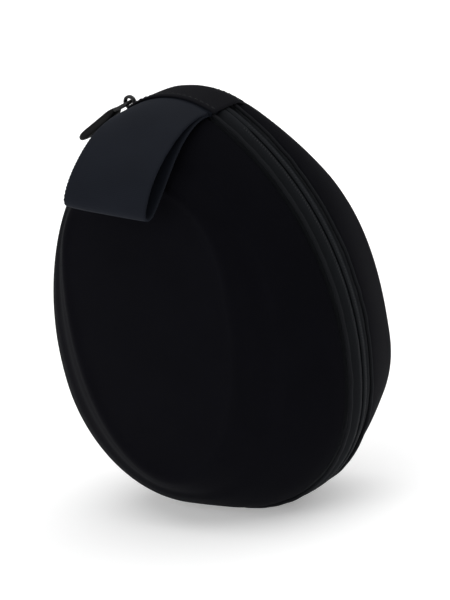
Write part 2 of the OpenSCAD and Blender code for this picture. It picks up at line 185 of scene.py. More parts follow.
def line_edges(bm, line):
    """The edges round a closed line of vertices."""
    return [bm.edges.get(pair) for pair in zip(line, line[1:] + line[:1])]


def grow_tube(bm, rings):
    """Draws a tube through rings, closes both its ends and returns its lines of vertices."""
    lines = grow(bm, rings)
    for end in (lines[0], lines[-1]):
        bmesh.ops.holes_fill(bm, edges=line_edges(bm, end), sides=0)
    return lines


def rounded_square(angle, power):
    """How far a rounded square reaches at an angle; a power of 2 is a circle."""
    return (abs(math.cos(angle)) ** power + abs(math.sin(angle)) ** power) ** (-1 / power)


# %% Helpers that turn a finished bmesh into an object
def mesh_object(name, bm, finish):
    """Puts a bmesh into the scene as an object with one material."""
    mesh = bpy.data.meshes.new(name)
    bm.to_mesh(mesh)
    bm.free()
    mesh.materials.append(finish)
    made = bpy.data.objects.new(name, mesh)
    bpy.context.scene.collection.objects.link(made)
    return made


def new_piece(name, bm, finish, cloth=None, body=None, stands_for=()):
    """Makes an object of a bmesh; cloth gives each vertex its place on the flat cloth."""
    bmesh.ops.recalc_face_normals(bm, faces=bm.faces)
    if cloth:
        layer = bm.loops.layers.uv.new("cloth")
        for face in bm.faces:
            for loop in face.loops:
                loop[layer].uv = cloth.get(loop.vert, (0, 0))
    for face in bm.faces:
        face.smooth = True
    piece = mesh_object(name, bm, finish)
    if body:
        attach(piece, body)
    if stands_for:
        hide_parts(*stands_for)
    print(f"{name}: {len(piece.data.polygons)} faces")
    return piece


# %% [markdown]
# ## Cloth finishes
#
# Everything soft on the case is dyed black polyester, and what tells one piece from another is
# how it was woven. So all cloths share one recipe: a flat black, a weave that raises the
# threads and also carries painted shade, lighter on each thread and darker in the hollows
# between them, broad unevenness in the dye, and a sheen, because loose fibre ends catch
# light at a grazing angle. The weave reads the cloth's own UV map, which is in metres, so its
# scale is the real distance between threads. Threads under about half a millimetre can't be
# told apart from where the camera stands, so they are drawn at that size.

# %% Colour and node helpers
def linear(code):
    """A linear colour from an sRGB hex code."""
    parts = [int(code[i : i + 2], 16) / 255 for i in (1, 3, 5)]
    return [c / 12.92 if c <= 0.04045 else ((c + 0.055) / 1.055) ** 2.4 for c in parts] + [1.0]


def add(tree, kind, inputs=None, **settings):
    """Adds a shader node: settings are its properties, inputs are socket values or links."""
    node = tree.nodes.new("ShaderNode" + kind)
    for key, value in settings.items():
        setattr(node, key, value)
    for socket, value in (inputs or {}).items():
        if isinstance(value, bpy.types.NodeSocket):
            tree.links.new(value, node.inputs[socket])
        else:
            node.inputs[socket].default_value = value
    return node


def new_finish(name):
    """An empty material with its output and its Principled shader."""
    finish = bpy.data.materials.new(name)
    finish.use_nodes = True
    tree = finish.node_tree
    tree.nodes.clear()
    shader = add(tree, "BsdfPrincipled")
    add(tree, "OutputMaterial", {"Surface": shader.outputs[0]})
    return finish, tree, shader


def dress(tree, shader, code, tone, height, relief_mm, values):
    """Gives a shader its toned colour, its relief and the values of its other sockets."""
    colour = add(tree, "VectorMath", {0: linear(code)[:3], "Scale": tone}, operation="SCALE")
    bump = add(tree, "Bump", {"Height": height, "Strength": 1.0, "Distance": relief_mm * MM})
    tree.links.new(colour.outputs[0], shader.inputs["Base Color"])
    tree.links.new(bump.outputs[0], shader.inputs["Normal"])
    for socket, value in values.items():
        shader.inputs[socket].default_value = value


# %% The weaves
def stripes(tree, coordinate, pitch):
    """Rounded ridges that repeat every pitch along a coordinate, from 0 to 1."""
    turns = add(tree, "Math", {0: coordinate, 1: math.pi / pitch}, operation="MULTIPLY")
    wave = add(tree, "Math", {0: turns.outputs[0]}, operation="SINE")
    return add(tree, "Math", {0: wave.outputs[0]}, operation="ABSOLUTE").outputs[0]


def over_under(tree, along, across, pitch):
    """A plain weave: squares where the warp or the weft takes turns on top."""
    place = add(tree, "CombineXYZ", {"X": along, "Y": across})
    squares = add(tree, "TexChecker", {"Vector": place.outputs[0], "Scale": 1 / pitch})
    warp, weft = stripes(tree, along, pitch), stripes(tree, across, pitch)
    return add(tree, "Mix", {0: squares.outputs["Fac"], 2: warp, 3: weft}).outputs[0]


def ribbed(tree, along, across, pitch):
    """Webbing: heavy weft ribs across, with the finer warp showing on each."""
    ribs = stripes(tree, along, pitch)
    warp = stripes(tree, across, pitch * 0.45)
    return add(tree, "Mix", {0: 0.3, 2: ribs, 3: warp}).outputs[0]


def herringbone(tree, along, across, pitch):
    """Zipper tape: slanting ribs whose slant turns back at every band."""
    zigzag = add(tree, "Math", {0: across, 1: pitch * 3}, operation="PINGPONG")
    slant = add(tree, "Math", {0: along, 1: zigzag.outputs[0]}, operation="ADD")
    return stripes(tree, slant.outputs[0], pitch)


def looped(tree, along, across, pitch):
    """A knit: columns of small loops, each shifted by half a loop."""
    place = add(tree, "CombineXYZ", {"X": along, "Y": across})
    cells = add(tree, "TexVoronoi", {"Vector": place.outputs[0], "Scale": 1 / pitch,
                                     "Randomness": 0.35})
    return add(tree, "Math", {0: 1.0, 1: cells.outputs["Distance"]},
               operation="SUBTRACT", use_clamp=True).outputs[0]


# %% One recipe for every cloth
FIBRE_TINT = "#8E97A8"


def cloth_finish(name, code, weave, pitch_mm, relief_mm, rough=0.85, sheen=0.05,
                 gloss=0.12, weave_shade=0.16):
    """A woven black cloth, with its thread pitch and relief in millimetres."""
    finish, tree, shader = new_finish(name)
    uv = add(tree, "UVMap", uv_map="cloth")
    way = add(tree, "SeparateXYZ", {0: uv.outputs[0]})
    threads = weave(tree, way.outputs["X"], way.outputs["Y"], pitch_mm * MM)
    place = add(tree, "TexCoord")
    patches = add(tree, "TexNoise", {"Vector": place.outputs["Object"], "Scale": 60.0,
                                     "Detail": 3.0})
    # Painted shade: the thread height is also painted into the colour, lighter on each thread and
    # darker in the hollows between threads.
    shade = add(tree, "MapRange", {"Value": threads, "To Min": 1 - weave_shade,
                                  "To Max": 1 + weave_shade})
    uneven = add(tree, "MapRange", {"Value": patches.outputs["Fac"], "From Min": 0.3,
                                    "From Max": 0.7, "To Min": 0.93, "To Max": 1.07})
    both = add(tree, "Math", {0: shade.outputs[0], 1: uneven.outputs[0]}, operation="MULTIPLY")
    fuzz = add(tree, "TexNoise", {"Vector": place.outputs["Object"], "Scale": 2500.0,
                                  "Detail": 2.0})
    relief = add(tree, "Math", {0: fuzz.outputs["Fac"], 1: 0.35, 2: threads},
                 operation="MULTIPLY_ADD")
    dress(tree, shader, code, both.outputs[0], relief.outputs[0], relief_mm,
          {"Roughness": rough, "Specular IOR Level": gloss, "Sheen Weight": sheen,
           "Sheen Roughness": 0.45, "Sheen Tint": linear(FIBRE_TINT)})
    return finish


# %% [markdown]
# Each cloth is named for what it is sold as. The cover is a closely woven polyester laminated
# to the foam, nearly smooth. The tab is a tighter, smoother cloth of the same kind. Webbing is
# ribbed across and a little bluer, zipper tape is a herringbone, bias tape and elastic are
# ribbed, and the lining is a brushed knit.

# %% The case's cloths
cover_fabric = cloth_finish("woven_polyester_cover", "#08080C", over_under, 0.45, 0.025,
                            sheen=0.012, gloss=0.03)
tab_fabric = cloth_finish("smooth_polyester_tab", "#0C0C10", over_under, 0.4, 0.02,
                          rough=0.8, sheen=0.015, gloss=0.06)
piping_fabric = cloth_finish("polyester_piping", "#101114", over_under, 0.4, 0.03)
tape_fabric = cloth_finish("herringbone_zipper_tape", "#0F1114", herringbone, 0.7, 0.06)
strap_webbing = cloth_finish("ribbed_polyester_webbing", "#12151C", ribbed, 0.9, 0.03,
                             rough=0.75, sheen=0.04, gloss=0.08, weave_shade=0.1)
binding_tape = cloth_finish("ribbed_bias_tape", "#0F1013", ribbed, 0.8, 0.06)
elastic_band = cloth_finish("ribbed_elastic", "#0C0D0F", ribbed, 0.9, 0.15)
lining_fabric = cloth_finish("brushed_tricot_lining", "#17181C", looped, 0.6, 0.05, rough=0.95,
                             sheen=0.3)
pocket_mesh = cloth_finish("warp_knit_mesh", "#0F1013", looped, 0.4, 0.03)

# %% [markdown]
# ## Foam, nylon, metal and rubber
#
# The foam is EVA, moulded and matt, with fine closed cells. The coils are nylon monofilament,
# smooth enough to give a tight highlight. The slider is die-cast zinc under black enamel, and
# its grip is moulded thermoplastic rubber with a fine spark-eroded grain.

# %% The hard finishes
def grain_finish(name, code, grain_mm, relief_mm, rough, gloss=0.5):
    """A moulded or enamelled surface with a fine grain, its size in millimetres."""
    finish, tree, shader = new_finish(name)
    place = add(tree, "TexCoord")
    grain = add(tree, "TexNoise", {"Vector": place.outputs["Object"], "Detail": 4.0,
                                   "Scale": 1 / (grain_mm * MM)})
    wear = add(tree, "TexNoise", {"Vector": place.outputs["Object"], "Scale": 220.0})
    tone = add(tree, "MapRange", {"Value": wear.outputs["Fac"], "To Min": 0.9, "To Max": 1.1})
    polish = add(tree, "MapRange", {"Value": wear.outputs["Fac"], "To Min": rough - 0.06,
                                    "To Max": rough + 0.06})
    tree.links.new(polish.outputs[0], shader.inputs["Roughness"])
    dress(tree, shader, code, tone.outputs[0], grain.outputs["Fac"], relief_mm,
          {"Specular IOR Level": gloss})
    return finish


eva_foam = grain_finish("closed_cell_eva_foam", "#34353A", 0.5, 0.05, 0.85)
nylon_coil = grain_finish("nylon_monofilament", "#0C0D0F", 0.6, 0.01, 0.32)
slider_metal = grain_finish("black_enamelled_zinc", "#0A0A0B", 0.4, 0.008, 0.38, gloss=0.3)
grip_rubber = grain_finish("moulded_soft_rubber", "#0A0A0B", 0.25, 0.02, 0.65, gloss=0.12)
thread = grain_finish("bonded_nylon_thread", "#121417", 0.3, 0.03, 0.5, gloss=0.25)
print("finishes", len(bpy.data.materials))


# %% [markdown]
# ## The two shells
#
# Each shell is a laminate, a cover, foam and a lining pressed together in a heated mould. Its
# shape has three parts. A wall leaves the rim and leans in, a raised ridge runs round the face,
# and inside the ridge the face is slightly crowned. Real moulding can't make a sharp corner in
# foam, so the ridge is rounded. On the lid a low bead runs along it, with a shallow groove
# beside it, where the mould's edge pressed.
#
# The shape is written once, for a layer at any depth below the outer skin. Drawing it through
# rings from the rim to the crown then gives each skin.

# %% The two forms
def form(ridge_depth, crown, side, top, bottom, rise, side_power, top_power, fillet, bead,
         groove):
    """A shell's moulded shape: depths and insets of its ridge, and how its wall falls."""
    return dict(ridge=ridge_depth, crown=crown, side=side, top=top, bottom=bottom, rise=rise,
                side_power=side_power, top_power=top_power, fillet=fillet, bead=bead,
                groove=groove)


LID_FORM = form(47, 3.3, 34.5, 27, 23, 10, 1.8, 1.4, fillet=0.09, bead=1.2, groove=1.3)
BACK_FORM = form(49.5, 3.2, 13.5, 40, 18, -33, 1.4, 2.1, fillet=0.2, bead=0.0,
                 groove=0.0)
BAND_HALF = 10.0
COVER_T, CORE_T, LINING_T = 1.2, 4.0, 0.8
WALL_T = COVER_T + CORE_T + LINING_T
RIDGE_DRAW = 0.6
TOP_SQUARE, BOTTOM_SQUARE = 2.6, 2.05
# The cover is pulled in under the piping, which leaves a crease along the rim.
TUCK, TUCK_SHARE = 2.3, 0.06


def ridge_at(form, rim, depth):
    """The ridge's place, across and up, in the direction of a point on the rim."""
    angle = math.atan2(rim.y * RIM_W / RIM_H, rim.x)
    upper = rim.y > 0
    power = TOP_SQUARE if upper else BOTTOM_SQUARE
    half_w = RIM_W / 2 - form["side"] - RIDGE_DRAW * depth
    half_h = RIM_H / 2 - (form["top"] + form["rise"] if upper else form["bottom"] - form["rise"])
    half_h -= RIDGE_DRAW * depth
    reach = rounded_square(angle, power)
    return Vector((half_w * reach * math.cos(angle),
                   form["rise"] + half_h * reach * math.sin(angle)))


def wall_at(form, way, share, depth):
    """A point on the wall: share 0 on the rim, 1 on the ridge."""
    rim, normal = rim_at(way, -depth)
    ridge = ridge_at(form, rim, depth)
    power = form["side_power"] + (form["top_power"] - form["side_power"]) * max(0, normal.y)
    tucked = TUCK * max(0, 1 - share / TUCK_SHARE) ** 2
    place = rim + (ridge - rim) * share**power - normal * tucked
    return Vector((place.x, BAND_HALF + (form["ridge"] - depth - BAND_HALF) * share, place.y))


def face_at(form, way, share, depth):
    """A point on the face: share 1 on the ridge, 0 on the crown."""
    ridge = ridge_at(form, rim_at(way, -depth)[0], depth)
    return Vector((share * ridge.x, form["ridge"] - depth + form["crown"] * (1 - share**2),
                   form["rise"] + share * (ridge.y - form["rise"])))


# %% Rings from the rim to the crown
AROUND = 180
WALL_SHARES = [0, 0.012, 0.03, 0.055, 0.085] + [0.085 + 0.915 * i / 22 for i in range(1, 22)]
FILLET_STEPS = 8
FACE_SHARES = [i / 12 for i in range(12, 0, -1)]


def bead_at(form, turn):
    """Height of the moulded bead, at a turn from -1 to 1 over the ridge."""
    return form["bead"] * (1 - turn * turn) ** 2


def meridian(form, way, depth):
    """The points from the rim to the crown at one place on the rim."""
    fillet = form["fillet"]
    wall = [wall_at(form, way, share * (1 - fillet), depth) for share in WALL_SHARES]
    for share, point in zip(WALL_SHARES, wall):
        point.y -= form["groove"] * math.sin(math.pi * max(0, share - 0.7) / 0.3) ** 2
    foot, ridge = wall_at(form, way, 1 - fillet, depth), wall_at(form, way, 1, depth)
    head = face_at(form, way, 1 - fillet, depth)
    over = []
    for i in range(FILLET_STEPS + 1):
        t = i / FILLET_STEPS
        point = foot * (1 - t) ** 2 + ridge * 2 * t * (1 - t) + head * t * t
        point.y += bead_at(form, 2 * t - 1)
        over.append(point)
    face = [face_at(form, way, share * (1 - fillet), depth) for share in FACE_SHARES[1:]]
    return wall + over + face


def skin_rings(form, side, depth):
    """The rings of one skin, from its crown out to the rim."""
    ways = [ROUND * i / AROUND for i in range(AROUND)]
    lines = [meridian(form, way, depth) for way in ways]
    rings = [[case_point(p.x, side * p.y, p.z) for p in ring] for ring in zip(*lines)]
    return rings[::-1]


def close_crown(bm, form, side, depth, rings):
    """Closes a skin at its crown and returns each vertex's place on the flat cloth."""
    hole = line_edges(bm, rings[0])
    crown = bmesh.ops.poke(bm, faces=bmesh.ops.holes_fill(bm, edges=hole, sides=0)["faces"])
    middle = crown["verts"][0]
    middle.co = case_point(0, side * (form["ridge"] - depth + form["crown"]), form["rise"])
    cloth = {middle: (0, 0)}
    for i in range(AROUND):
        spoke = rings[0][i].co - middle.co
        spoke = Vector((spoke.x, spoke.z)).normalized()
        length, last = 0, middle.co
        for ring in rings:
            length += (ring[i].co - last).length
            last = ring[i].co
            cloth[ring[i]] = tuple(spoke * length)
    return cloth


def shell_layer(name, form, side, outer, inner, finish, body, node):
    """One closed layer of the laminate: out over one skin and back under the other."""
    bm = bmesh.new()
    outside, inside = skin_rings(form, side, outer), skin_rings(form, side, inner)
    grown = grow(bm, outside + inside[::-1])
    cloth = close_crown(bm, form, side, outer, grown[: len(outside)])
    cloth.update(close_crown(bm, form, side, inner, grown[: len(outside) - 1 : -1]))
    return new_piece(name, bm, finish, cloth, body, [node])


# %% [markdown]
# The unrolled UV map measures along each spoke from the crown, as a flat cloth is pressed over
# a mould from its middle. The three layers are grown at the same depths as in the frame.

# %% Cover, foam and lining of both shells
for body, side, shape in (("back", BACK, BACK_FORM), ("lid", LID, LID_FORM)):
    for name, outer, inner, finish, slot, node in (
            ("cover_cloth", 0, COVER_T, cover_fabric, "cover_fabric", "cover"),
            ("core_foam", COVER_T, COVER_T + CORE_T, eva_foam, "eva_foam", "core"),
            ("lining_cloth", COVER_T + CORE_T, WALL_T, lining_fabric, "lining_fabric",
             "lining")):
        shell_layer(f"{body}_{name}", shape, side, outer, inner,
                                               finish, body, f"{body}_{node}")

# %% [markdown]
# ## The band between the shells
#
# Everything along the rim is a section swept along it. A section is a list of places, each a
# depth from the zipper line and a height over the rim, and it may change on the way. `sweep`
# grows it from one end to the other, so each piece's cloth runs lengthwise along the rim.

# %% Sweeping a section along the rim
def spaced(start, end, pitch):
    """Lengths from start to end, about one pitch apart."""
    count = max(2, round((end - start) / pitch))
    return [start + (end - start) * i / count for i in range(count + 1)]


def rim_ring(way, side, section):
    """A section's points at one place on the rim."""
    ring = []
    for depth, off in section:
        place, _ = rim_at(way, off)
        ring.append(case_point(place.x, side * depth, place.y))
    return ring


def ring_cloth(lines, ways):
    """Unrolls grown lines: along the sweep, and round the section."""
    cloth = {}
    for line, way in zip(lines, ways):
        length = 0
        for i, vert in enumerate(line):
            if i:
                length += (vert.co - line[i - 1].co).length
            cloth[vert] = (way * MM, length)
    return cloth


def sweep(name, side, ways, section_at, finish, body=None, stands_for=()):
    """Sweeps a closed section along the rim and caps both ends."""
    bm = bmesh.new()
    lines = grow_tube(bm, [rim_ring(way, side, section_at(way)) for way in ways])
    return new_piece(name, bm, finish, ring_cloth(lines, ways), body, stands_for)


ZIP_START, ZIP_END = TAB_WAY, ROUND - TAB_WAY
print("zipper length in mm", round(ZIP_END - ZIP_START, 1))

# %% [markdown]
# Piping hides the seam where each shell's cover turns over its edge. It is a thin cord sewn
# into a folded strip, and the seam never pulls it quite straight, so it wanders by a quarter of
# a millimetre. Inside, a bias tape binds the shell's raw edge.

# %% Piping and bindings
PIPING_DEPTH, PIPING_OFF, PIPING_R = 8.75, 1.0, 0.95


def cord_section(depth, off, radius):
    """A round cord's section at a place over the rim, with ten sides."""
    turns = [2 * math.pi * i / 10 for i in range(10)]
    return [(depth + radius * math.cos(t), off + radius * math.sin(t)) for t in turns]


def wander(way, seed, length=7.0):
    """A smooth wandering value between about -1 and 1 along the rim."""
    return 2 * noise.noise(Vector((way / length, seed, 0.5)))


def piping_section(seed):
    """The piping's section as a function of the way along the rim."""
    return lambda way: cord_section(PIPING_DEPTH + 0.16 * wander(way, seed),
                                    PIPING_OFF + 0.12 * wander(way, seed + 3), PIPING_R)


def binding_section(way):
    """Bias tape folded over the shell's inner edge, rounded at its fold."""
    return [(9.9, -0.9), (9.0, -0.95), (8.75, -1.5), (8.72, -3.5), (8.75, -5.4), (9.0, -6.2),
            (9.7, -6.55), (11.5, -6.5), (13.0, -6.45), (13.0, -6.1), (10.2, -5.9), (9.95, -5.0),
            (9.95, -2.0)]


for body, side, seed in (("back", BACK, 1.0), ("lid", LID, 5.0)):
    sweep(f"{body}_piping_cord", side, spaced(ZIP_START, ZIP_END, 1.2), piping_section(seed),
          piping_fabric, body, [f"{body}_piping"])
    sweep(f"{body}_edge_binding", side, spaced(ZIP_START, ZIP_END, 3.0), binding_section,
          binding_tape, body, [f"{body}_binding"])

# %% [markdown]
# A zipper tape is woven flat, with its coil sewn along one edge. Sewn to the shells, each tape
# rises from the piping to the zipper line, and the coil's stitching leaves short ribs across
# its edge, one per coil. The two edges stand a millimetre apart, except next to the tab,
# where they are sewn together.

# %% The zipper tapes
COIL_PITCH = 1.4
TAPE_TOP = [(9.6, -0.6), (7.9, -0.7), (7.0, -0.45), (6.0, 0.05), (5.0, 0.7), (4.1, 1.35),
            (3.2, 1.85), (2.3, 2.1), (1.5, 2.15)]
TAPE_UNDER = [(1.5, 1.32), (3.2, 1.0), (4.1, 0.5), (5.5, -0.45), (7.0, -1.1), (9.6, -1.3)]


def slit_half(way):
    """Half the gap between the tape edges: closed near the tab's end, then open."""
    share = min(1, max(0, (way - ZIP_START - 13) / 7))
    return 0.05 + 0.5 * share * share * (3 - 2 * share)


def tape_section(way):
    """A tape's section, with the ribs that its coil stitching raises."""
    rib = 0.13 * abs(math.sin(math.pi * way / COIL_PITCH)) - 0.06
    edge = slit_half(way) + 0.05 * wander(way, 9.0, 2.5)
    ribbed_top = [(d, off + rib * (1 if d < 3.5 else 0.4 if d < 4 else 0)) for d, off in TAPE_TOP]
    return ribbed_top + [(edge + 0.35, 2.05 + rib), (edge, 1.75), (edge + 0.1, 1.3)] + TAPE_UNDER


FREE_END = 20.6
RIB_STEP = COIL_PITCH / 2
sweep("back_tape", BACK, spaced(ZIP_START, ZIP_END, RIB_STEP), tape_section, tape_fabric,
      "back", ["back_zipper_tape"])
sweep("lid_tape", LID, spaced(ZIP_START, ZIP_END - FREE_END, RIB_STEP), tape_section,
      tape_fabric, "lid", ["lid_zipper_tape"])
sweep("lid_tape_tail", LID, spaced(ZIP_END - FREE_END, ZIP_END, RIB_STEP), tape_section,
      tape_fabric, "lid", ["lid_tape_end"])

# %% [markdown]
# The coil is one long nylon filament wound into a flattened spiral. Each turn's head reaches
# just past the zipper line and sits between two heads of the other side. A filament is a tube
# grown along the spiral, with eight points to a turn.

# %% The coils
FILAMENT_R, TURN_POINTS = 0.3, 8


def spiral_point(way, side, seed):
    """A point on the filament's middle line: one turn per pitch, flattened."""
    turn = 2 * math.pi * (way / COIL_PITCH + seed)
    place, _ = rim_at(way, 0.35 + 0.62 * math.sin(turn))
    return case_point(place.x, side * (0.95 - 1.5 * math.cos(turn)), place.y)


def coil(name, side, start, end, seed, body, stands_for):
    """A coil as one tube along its spiral."""
    bm = bmesh.new()
    ways = spaced(start, end, COIL_PITCH / TURN_POINTS)
    points = [spiral_point(way, side, seed) for way in ways]
    rings = []
    for i, point in enumerate(points):
        ahead = (points[min(i + 1, len(points) - 1)] - points[max(i - 1, 0)]).normalized()
        along = (rim_at(ways[i] + 1)[0] - rim_at(ways[i] - 1)[0]).normalized()
        outward = ahead.cross(Vector((along.x, 0, along.y))).normalized()
        level = ahead.cross(outward)
        rings.append([point + FILAMENT_R * MM * (math.cos(t) * outward + math.sin(t) * level)
                      for t in (0, math.pi / 2, math.pi, 1.5 * math.pi)])
    grow_tube(bm, rings)
    return new_piece(name, bm, nylon_coil, None, body, stands_for)


# %% [markdown]
# The thread that holds each coil shows on the outside as a row of short bars beside the slit,
# one per turn, a shade glossier than the tape.

# %% Stitches
def stitch(bm, place, ahead, outward, length=2.4, radius=0.2):
    """One stitch: a six-sided bar along `ahead` whose ends dip into the cloth."""
    across = ahead.cross(outward)
    rings = []
    for share, size, dip in ((-0.5, 0.2, 0.35), (-0.36, 0.9, 0.05), (0, 1, -0.06),
                             (0.36, 0.9, 0.05), (0.5, 0.2, 0.35)):
        middle = place + (ahead * share * length - outward * dip) * MM
        rings.append([middle + radius * size * MM * (math.cos(t) * across + math.sin(t) * outward)
                      for t in (math.pi * k / 3 for k in range(6))])
    grow_tube(bm, rings)


def coil_stitches(name, side, start, end, body):
    """The row of stitches that shows on one tape, slightly uneven as sewn."""
    bm = bmesh.new()
    for way in spaced(start, end, COIL_PITCH):
        place, normal = rim_at(way, 2.02 + 0.05 * wander(way, 30 + side, 3))
        along = Vector((normal.y, 0, -normal.x))
        ahead = (Vector((0, side, 0)) + along * (0.45 + 0.1 * wander(way, 33, 4))).normalized()
        stitch(bm, case_point(place.x, side * (2.15 + 0.1 * wander(way, 36 + side, 4)), place.y),
               ahead, Vector((normal.x, 0, normal.y)), 1.7, 0.24)
    return new_piece(name, bm, thread, None, body)


TACKED = 14
coil_stitches("back_coil_stitches", BACK, ZIP_START + TACKED, ZIP_END - TACKED, "back")
coil_stitches("lid_coil_stitches", LID, ZIP_START + TACKED, ZIP_END - FREE_END - 1, "lid")
coil("back_coil", BACK, ZIP_START, ZIP_END, 0.0, "back", ["back_zipper_coil"])
coil("lid_coil", LID, ZIP_START, ZIP_END - FREE_END, 0.5, "lid", ["lid_zipper_coil"])
coil("lid_coil_tail", LID, ZIP_END - FREE_END, ZIP_END, 0.5, "lid", ["lid_coil_end"])


# %% [markdown]
# ## The hinge
#
# A cloth tab over the top of the case is the hinge. It is sewn to the back shell, runs forward
# over the zipper's two ends and catches the strap's tail at its front edge. Inside, a web of
# bias tape joins the two bindings. Both bend as the lid opens; here they are drawn as they lie
# with the case closed, and they move with neither shell.

# %% The cover's height over the rim
def cover_off(shape, way, depth):
    """Where the outer skin lies over the rim, at a depth on the wall."""
    share = max(0, (depth - BAND_HALF) / (shape["ridge"] - BAND_HALF))
    place = wall_at(shape, way, share, 0)
    rim, normal = rim_at(way)
    return (Vector((place.x, place.z)) - rim).dot(normal)


def bend_at_hinge(piece):
    """Bakes the piece's placing into its mesh; it is attached to neither shell."""
    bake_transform(piece)


# %% The tab and its web
TAB_END = TAB_WAY + 0.6


def tab_section(way):
    """The tab: turned under at its back edge, over the band, and rounded at its front."""
    lap = cover_off(BACK_FORM, way, 17)
    mid = cover_off(BACK_FORM, way, 14)
    slope = lap * 0.6 + mid * 0.4
    pinch = 0.7 * max(0, 1 - (TAB_END - abs(way)) / 1.2) ** 2
    top = [(17.5, lap + 0.5), (17.2, lap + 1.2), (15.5, slope + 1.6), (13.5, mid + 2.3),
           (11.5, 2.75), (9.5, 3.3), (7, 3.5), (3, 3.62), (0, 3.68), (-4, 3.75), (-7, 3.85),
           (-8.8, 3.95), (-10.0, 3.85), (-10.6, 3.4)]
    under = [(-10.5, 2.95), (-9.8, 2.75), (-5, 2.72), (0, 2.7), (5, 2.65), (9, 2.4), (11.5, 1.7),
             (13.5, mid + 1.0), (15.5, slope + 0.5), (17.1, lap + 0.25)]
    soft = 0.1 * wander(way, 20.0, 9.0)
    return [(d, off - pinch + soft) for d, off in top] + under


# The fourteen points of its upper face.
tab_top = tab_section(0)[:14]
tab = sweep("top_tab", BACK, spaced(-TAB_END, TAB_END, 0.6), tab_section, tab_fabric,
            stands_for=["hinge_tab"])
bend_at_hinge(tab)


def web_section(way):
    """A flat web between the bindings, a little slack in its middle."""
    depths = [9.8, 7, 5, 3.5, 2, 0.7, -0.7, -2, -3.5, -5, -7, -9.8]
    slack = {d: 0.35 * math.cos(d / depths[0] * math.pi / 2) for d in depths}
    return [(d, -0.1 - slack[d]) for d in depths] + [(d, -0.9 - slack[d]) for d in reversed(depths)]


web = sweep("hinge_web_tape", BACK, spaced(-TAB_WAY, TAB_WAY, 1.5), web_section, binding_tape,
            stands_for=["hinge_web"])
bend_at_hinge(web)

# %% [markdown]
# Two rows of lockstitch hold the tab. Each stitch is the same short length of thread, dipping
# at both ends where it goes through the cloth.

# %% The tab's stitches
STITCH_PITCH = 3.0


def rim_stitches(bm, depth, off_at):
    """A row of stitches across the tab, at one depth."""
    end = TAB_WAY - STITCH_PITCH / 2
    for way in spaced(-end, end, STITCH_PITCH):
        place, normal = rim_at(way, off_at(way))
        ahead = Vector((-normal.y, 0, normal.x))
        stitch(bm, case_point(place.x, depth, place.y), ahead, Vector((normal.x, 0, normal.y)))


bm = bmesh.new()
rim_stitches(bm, -8.2, lambda way: 4.0 + 0.1 * wander(way, 20.0, 9.0))
rim_stitches(bm, 15.5, lambda way: 0.6 * cover_off(BACK_FORM, way, 17)
             + 0.4 * cover_off(BACK_FORM, way, 14) + 1.72)
stitches = new_piece("tab_stitches", bm, thread)
bend_at_hinge(stitches)


# %% [markdown]
# ## The strap
#
# The strap is one length of flat webbing, folded in two. Both ends are sewn under the tab, and
# the loop springs forward over the lid and folds back at its lowest place. Its middle line is
# three curves seen from the side: the outer run, the fold, and the inner run. At the tab it
# still follows the arch of the rim, and it flattens on its way forward.

# %% The loop's middle line
STRAP_T = 1.1
REACH, DROP = 59.0, 38.0
OUTER_ROOT, INNER_ROOT = 1.95, 0.85
# Packed cloth never hangs square: the fold's right end is lower than its left.
SKEW, LIFT = 2.6, 2.4
CURVES = [
    [(0, 0), (0.38, -0.01), (0.84, 0.52), (0.975, 0.9)],
    [(0.975, 0.9), (1.01, 1.0), (0.97, 1.05), (0.9, 1.0)],
    [(0.9, 1.0), (0.72, 0.82), (0.38, 0), (0, 0)],
]


def bezier(points, t):
    """A cubic curve's point and its slope."""
    a, b, c, d = (Vector(p) for p in points)
    s = 1 - t
    return (a * s**3 + b * 3 * s * s * t + c * 3 * s * t * t + d * t**3,
            (b - a) * 3 * s * s + (c - b) * 6 * s * t + (d - c) * 3 * t * t)


def loop_rows(pitch):
    """Rows along the loop: place, outward normal, share of the arch and length so far."""
    fine = []
    for k, curve in enumerate(CURVES):
        for i in range(200):
            t = i / 200
            p, slope = bezier(curve, t)
            lift = OUTER_ROOT * (1 - t) if k == 0 else INNER_ROOT * t if k == 2 else 0
            across = Vector((slope.y * DROP, slope.x * REACH)).normalized()
            fine.append((Vector((p.x * REACH, lift - p.y * DROP)), across,
                         max(0, 1 - p.x) ** 1.5))
    rows, length, due = [], 0.0, 0.0
    for here, last in zip(fine, fine[:1] + fine):
        length += (here[0] - last[0]).length
        if length >= due:
            rows.append((*here, length))
            due += pitch
    return rows


# %% [markdown]
# Webbing is woven with its weft going to and fro, so each edge shows one small loop per rib.
# The outer run bows up very slightly between its edges, and the whole loop is a shade uneven,
# as cloth is that has been folded and packed.

# %% The webbing loop
def strap_point(row, across, face):
    """A point on the webbing: across from -1 to 1, and which face."""
    place, normal, arch, length = row
    edge = 0.16 * math.cos(math.pi * length / 1.0) if abs(across) > 0.99 else 0
    x = across * (STRAP_W / 2 + edge)
    sag = (TOP_R - math.sqrt(TOP_R**2 - x * x)) * arch
    free = min(1, length / 25) * min(1, (loop_length - length) / 25)
    bow = free * (0.5 * (1 - across * across) + 0.35 * wander(length, across * 1.3, 28))
    thick = STRAP_T / 2 * (0.55 if abs(across) > 0.99 else 1)
    place = place + normal * (bow + face * thick)
    lean = (1 - arch) ** 2 * (SKEW * across - LIFT)
    return case_point(x, -(10.3 + place.x), RIM_H / 2 + place.y - sag - lean)


rows = loop_rows(1.0)
loop_length = rows[-1][3]
ACROSS = [-1, -0.985, -0.93, *(i / 10 for i in range(-8, 9)), 0.93, 0.985, 1]
bm = bmesh.new()
rings = [[strap_point(row, a, 1) for a in ACROSS]
         + [strap_point(row, a, -1) for a in reversed(ACROSS)] for row in rows]
lines = grow_tube(bm, rings)
cloth = {}
for row, line in zip(rows, lines):
    for vert, a in zip(line, ACROSS + ACROSS[::-1]):
        cloth[vert] = (row[3] * MM, a * STRAP_W / 2 * MM)
strap = new_piece("strap_loop", bm, strap_webbing, cloth,
                  stands_for=["handle_strap"])
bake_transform(strap)
print("loop length in mm", round(loop_length, 1))

